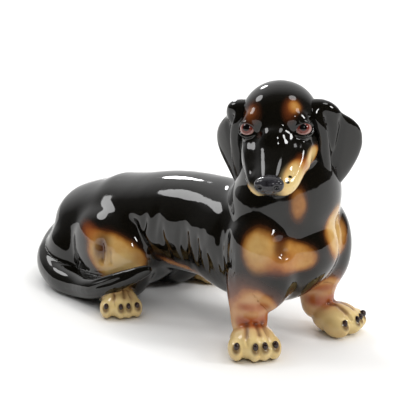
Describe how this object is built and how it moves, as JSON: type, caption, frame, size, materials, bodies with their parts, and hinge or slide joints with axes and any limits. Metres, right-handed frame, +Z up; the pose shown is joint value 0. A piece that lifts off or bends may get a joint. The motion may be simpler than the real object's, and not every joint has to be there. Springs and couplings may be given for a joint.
{
  "type": "dog figurine",
  "caption": "Glazed ceramic figurine of a lying long-bodied, short-legged dog with hanging ears, black with tan markings, head turned to its right.",
  "frame": {"origin": "on the floor under the middle of the figure's bounding box", "axes": "+X from rump to chest, +Y to the dog's left, +Z up"},
  "size_m": [0.3418, 0.174, 0.2312],
  "materials": {
    "black_glaze": "gloss",
    "tan_glaze": "gloss",
    "eye_glaze": "gloss",
    "nose_glaze": "gloss",
    "claw_glaze": "gloss"
  },
  "bodies": {
    "root": {"body_casting": "black_glaze", "ear_left": "black_glaze", "ear_right": "black_glaze", "eye_left": "eye_glaze", "eye_right": "eye_glaze", "foreleg_left": "tan_glaze", "foreleg_right": "tan_glaze", "forepaw_left_claw_1": "claw_glaze", "forepaw_left_claw_2": "claw_glaze", "forepaw_left_claw_3": "claw_glaze", "forepaw_left_claw_4": "claw_glaze", "forepaw_right_claw_1": "claw_glaze", "forepaw_right_claw_2": "claw_glaze", "forepaw_right_claw_3": "claw_glaze", "forepaw_right_claw_4": "claw_glaze", "head_casting": "black_glaze", "hindleg_left": "tan_glaze", "hindleg_right": "tan_glaze", "hindpaw_left_claw_1": "claw_glaze", "hindpaw_left_claw_2": "claw_glaze", "hindpaw_left_claw_3": "claw_glaze", "hindpaw_left_claw_4": "claw_glaze", "hindpaw_right_claw_1": "claw_glaze", "hindpaw_right_claw_2": "claw_glaze", "hindpaw_right_claw_3": "claw_glaze", "hindpaw_right_claw_4": "claw_glaze", "nose_pad": "nose_glaze", "tail": "black_glaze"}
  },
  "joints": []
}
